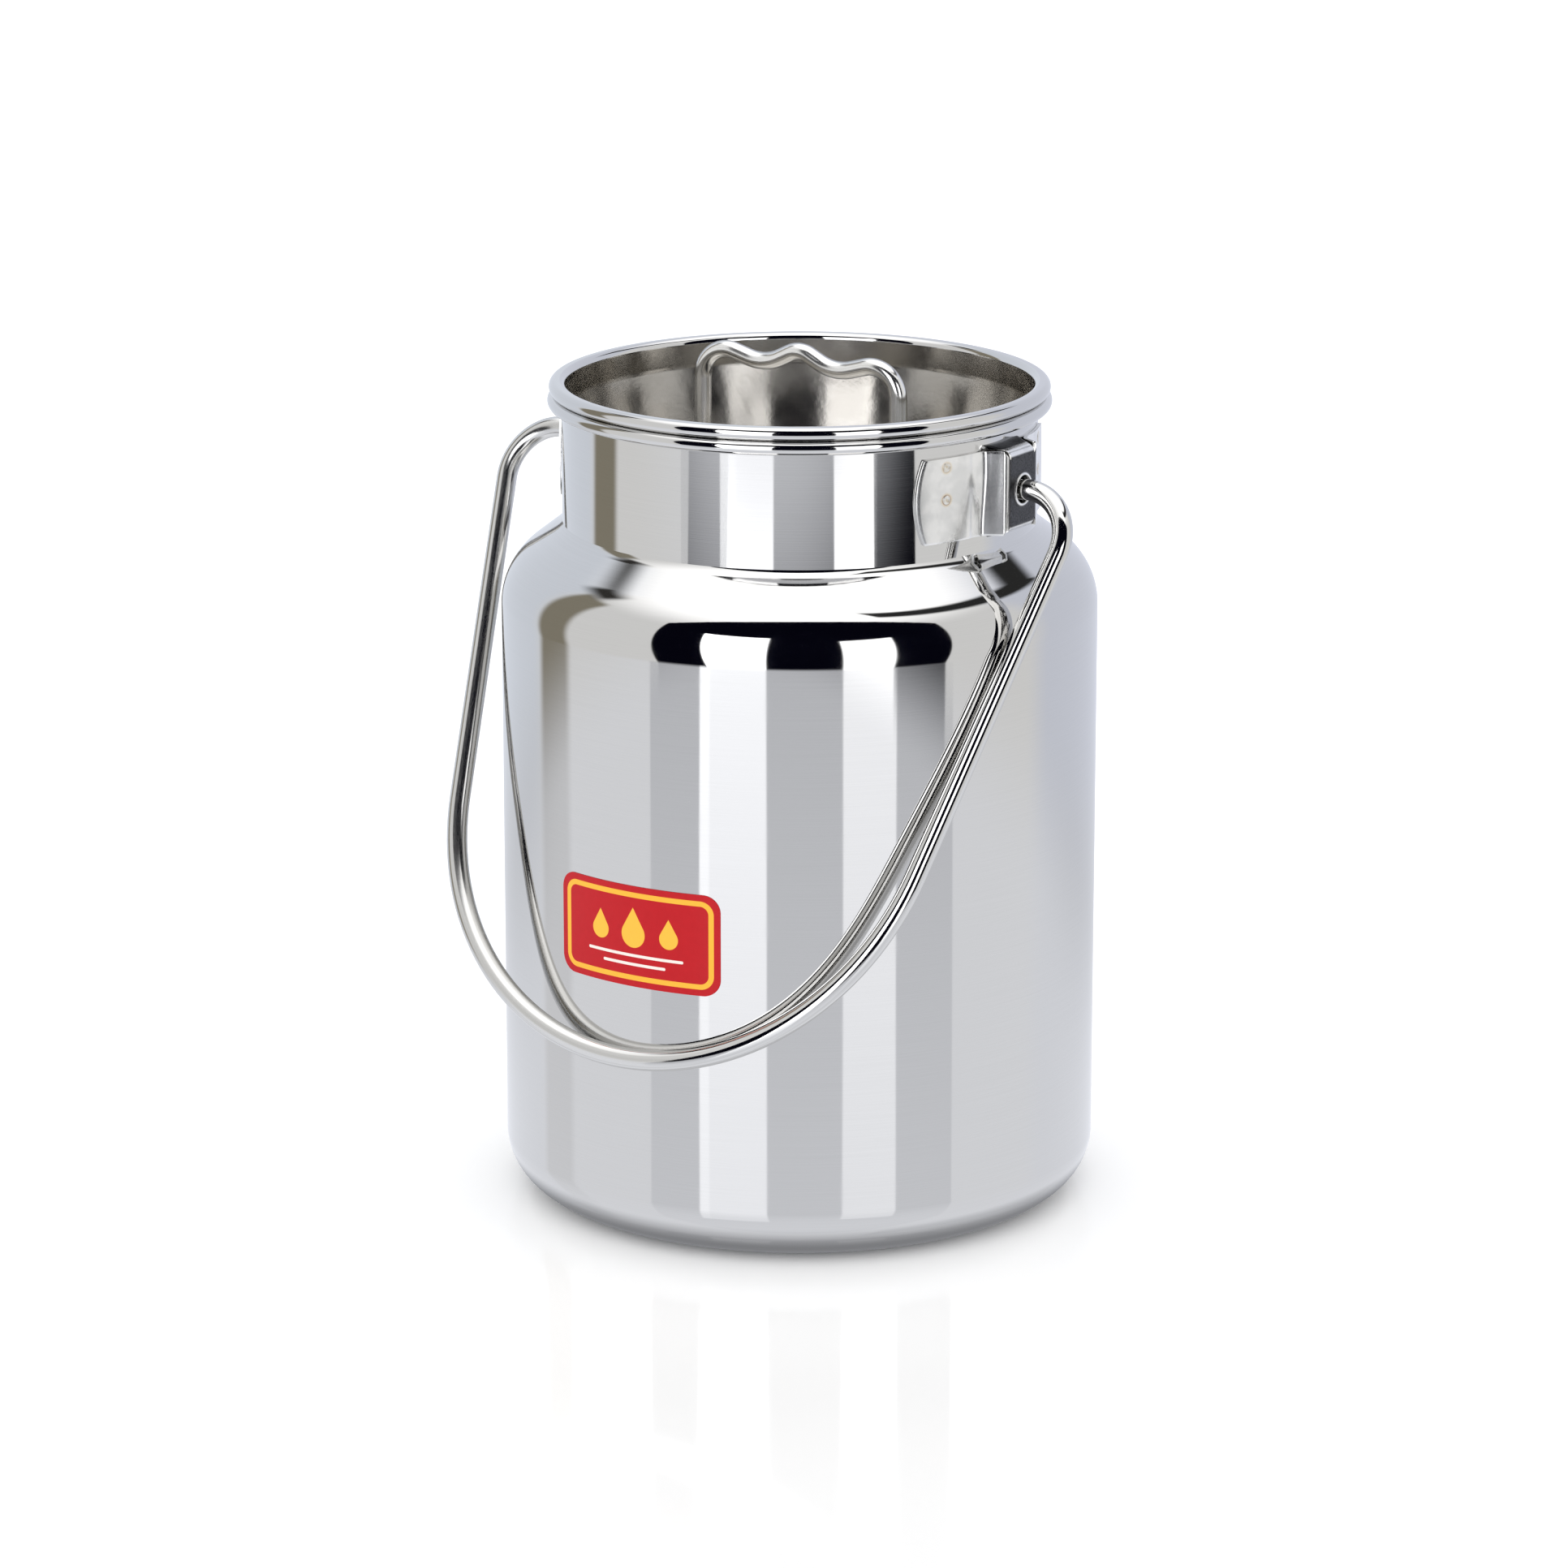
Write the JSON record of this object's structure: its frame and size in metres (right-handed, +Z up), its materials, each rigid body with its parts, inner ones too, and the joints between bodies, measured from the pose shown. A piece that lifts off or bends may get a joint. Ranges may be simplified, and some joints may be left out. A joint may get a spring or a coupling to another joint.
{
  "type": "milk can",
  "caption": "Polished stainless steel milk can: round-shouldered body, straight neck with rolled bead, deep plug lid with wavy wire handle, and a swinging rod bail held in sheet ears.",
  "frame": {"origin": "centre of the base, on the plane the can stands on", "axes": "+Z up along the can's axis, X along the bail's axis through both ears, -Y towards the front, where the label is and where the bail hangs at rest"},
  "size_m": [0.1946, 0.178, 0.2491],
  "materials": {
    "polished_steel": "mirror-polished stainless steel sheet",
    "lid_steel": "satin inside the dish, polished on the bead",
    "ear_steel": "stamped sheet, half-bright with fine grain",
    "rod_steel": "drawn and polished stainless rod, slightly satin",
    "weld_metal": "small welds with straw and brown heat tint",
    "label_film": "gloss printed vinyl, red with a gold line"
  },
  "bodies": {
    "can": {"body_shell": "polished_steel", "neck_collar": "polished_steel", "neck_weld_ring": "weld_metal", "ear_right": "ear_steel", "ear_left": "ear_steel", "ear_right_welds": "weld_metal", "ear_left_welds": "weld_metal", "front_label": "label_film"},
    "bail": {"bail_handle": "rod_steel"},
    "lid": {"lid_dish": "lid_steel", "lid_handle": "rod_steel", "lid_handle_welds": "weld_metal"}
  },
  "joints": [
    {"name": "bail_swing", "type": "hinge", "parent": "can", "child": "bail", "pos_m": [0, 0, 0.2154], "axis": [-1, 0, 0], "range_deg": [0, 300.8]},
    {"name": "lid_lift", "type": "slide", "parent": "can", "child": "lid", "axis": [0, 0, 1], "range_m": [0, 0.06]}
  ]
}
